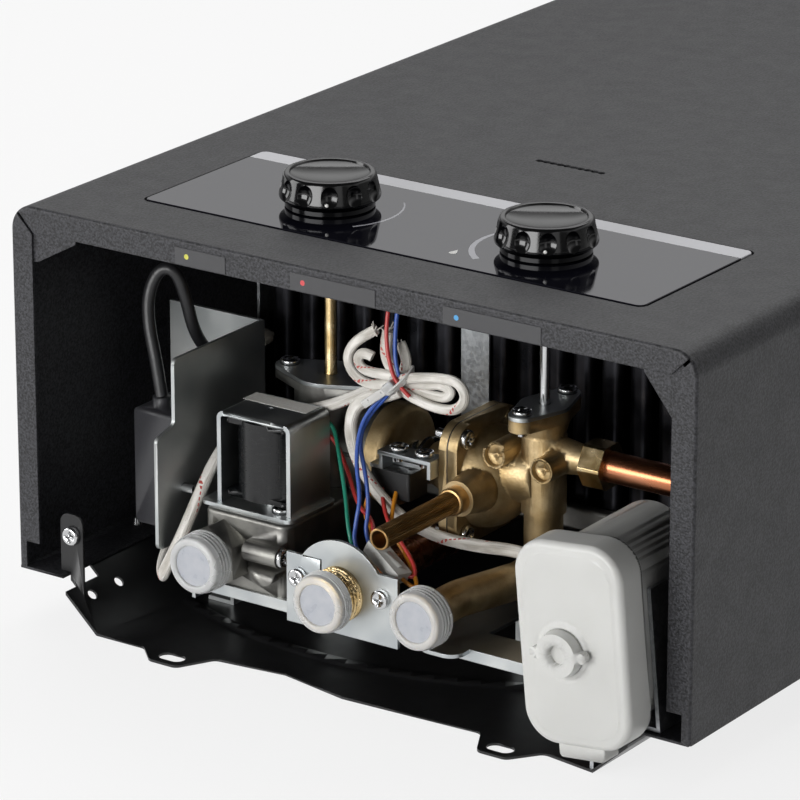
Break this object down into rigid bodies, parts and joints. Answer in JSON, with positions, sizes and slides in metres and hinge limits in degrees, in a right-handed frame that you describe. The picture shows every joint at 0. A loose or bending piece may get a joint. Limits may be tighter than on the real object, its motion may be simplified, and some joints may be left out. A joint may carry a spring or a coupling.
{
  "type": "gas water heater",
  "caption": "Open-flue gas water heater lying on its back, with two knobs on its cover and its open end showing valves, ports and wiring.",
  "frame": {"origin": "midpoint of the two lower wall slots, on the wall plane", "axes": "+X across the casing, +Y from the pipe connections towards the flue, +Z from the wall out of the front cover"},
  "size_m": [0.3, 0.5578, 0.1778],
  "materials": {
    "black_powder_coat": "charcoal powder coat with a fine sand texture",
    "black_enamel": "satin black enamel",
    "galvanised_sheet": "spangled zinc",
    "panel_acrylic": "gloss black with a silver edge",
    "knob_plastic": "polished black",
    "black_plastic": "fine texture",
    "clear_cap": "translucent moulding",
    "label_vinyl": "blank dark grey strip with a coloured dot",
    "brass": "machined",
    "zinc_casting": "die cast",
    "zinc_plate": "passivated",
    "steel": "plated",
    "dark_rubber": "moulded",
    "copper_tube": "drawn copper",
    "burner_steel": "dark stainless",
    "blue_plastic": "wire insulation",
    "red_plastic": "wire insulation",
    "white_plastic": "moulded",
    "glass_sleeve": "white braided glass fibre",
    "bronze": "cast bronze",
    "ceramic": "glazed ceramic",
    "battery_jacket": "plain wrapped cells"
  },
  "bodies": {
    "casing": {"front_cover": "black_powder_coat", "cover_gussets": "black_powder_coat", "back_plate": "black_enamel", "panel_carrier": "black_plastic", "control_panel": "panel_acrylic", "label_strips": "label_vinyl", "gas_inlet_union": "zinc_casting", "gas_valve_body": "zinc_casting", "gas_bonnet": "zinc_casting", "spindle_plates": "zinc_plate", "solenoid_base": "zinc_plate", "solenoid_yoke": "zinc_plate", "solenoid_coil": "black_plastic", "gas_valve_end_cap": "bronze", "water_valve_body": "brass", "water_valve_cover": "brass", "diaphragm": "dark_rubber", "blanking_plugs": "brass", "union_nut": "brass", "feed_pipe": "copper_tube", "hot_pipe": "copper_tube", "cold_inlet": "brass", "hot_outlet": "brass", "hot_plate": "zinc_plate", "cross_bracket": "zinc_plate", "side_bracket": "zinc_plate", "igniter_box": "black_plastic", "igniter_lead": "dark_rubber", "electrode": "ceramic", "microswitch": "black_plastic", "microswitch_bracket": "zinc_plate", "battery_box": "white_plastic", "battery_cells": "battery_jacket", "battery_contacts": "steel", "battery_bracket": "galvanised_sheet", "burner_bars": "burner_steel", "burner_tray": "galvanised_sheet", "gas_manifold": "zinc_casting", "combustion_chamber": "copper_tube", "heat_exchanger": "copper_tube", "draught_hood": "galvanised_sheet", "flue_collar": "galvanised_sheet", "wiring_loom": "glass_sleeve", "wire_connector": "white_plastic", "blue_wires": "blue_plastic", "red_wires": "red_plastic", "assembly_screws": "steel"},
    "gas_knob_body": {"gas_knob": "knob_plastic", "gas_cock": "brass"},
    "water_knob_body": {"water_knob": "knob_plastic", "water_regulator": "steel"},
    "gas_cap_body": {"gas_cap": "clear_cap"},
    "hot_cap_body": {"hot_cap": "clear_cap"},
    "cold_cap_body": {"cold_cap": "clear_cap"},
    "battery_cap_body": {"battery_cap": "white_plastic"},
    "battery_lock_body": {"battery_lock": "white_plastic"},
    "plunger_body": {"solenoid_plunger": "steel"},
    "push_rod_body": {"push_rod": "steel"},
    "lever_body": {"microswitch_lever": "steel"},
    "drain_body": {"drain_nozzle": "brass"}
  },
  "joints": [
    {"name": "gas_knob_turn", "type": "hinge", "parent": "casing", "child": "gas_knob_body", "pos_m": [-0.05, 0.0692, 0.164], "axis": [0, 0, 1], "range_deg": [0, 110]},
    {"name": "water_knob_turn", "type": "hinge", "parent": "casing", "child": "water_knob_body", "pos_m": [0.046, 0.0692, 0.164], "axis": [0, 0, 1], "range_deg": [-150, 0]},
    {"name": "gas_cap_pull", "type": "slide", "parent": "casing", "child": "gas_cap_body", "axis": [0, -1, 0], "range_m": [0, 0.025]},
    {"name": "hot_cap_pull", "type": "slide", "parent": "casing", "child": "hot_cap_body", "axis": [0, -1, 0], "range_m": [0, 0.025]},
    {"name": "cold_cap_pull", "type": "slide", "parent": "casing", "child": "cold_cap_body", "axis": [0, -1, 0], "range_m": [0, 0.025]},
    {"name": "battery_cap_pull", "type": "slide", "parent": "casing", "child": "battery_cap_body", "axis": [0, -1, 0], "range_m": [0, 0.05]},
    {"name": "battery_lock_turn", "type": "hinge", "parent": "battery_cap_body", "child": "battery_lock_body", "pos_m": [0.11171, -0.0193, 0.05322], "axis": [0, -1, 0], "range_deg": [0, 90]},
    {"name": "plunger_lift", "type": "slide", "parent": "casing", "child": "plunger_body", "axis": [0, 0, 1], "range_m": [0, 0.003], "stiffness_N_per_m": 150},
    {"name": "push_rod_slide", "type": "slide", "parent": "casing", "child": "push_rod_body", "axis": [-1, 0, 0], "range_m": [0, 0.0035], "stiffness_N_per_m": 400},
    {"name": "switch_lever_swing", "type": "hinge", "parent": "casing", "child": "lever_body", "pos_m": [-0.00695, 0.0493, 0.08], "axis": [0, 0, 1], "range_deg": [0, 13.5]},
    {"name": "drain_nozzle_turn", "type": "hinge", "parent": "casing", "child": "drain_body", "pos_m": [0.0265, 0.0487, 0.073], "axis": [0, 1, 0], "range_deg": [0, 360]}
  ],
  "couplings": [
    {"joint": "switch_lever_swing", "follows": "push_rod_slide", "rad_per_m": 65}
  ]
}
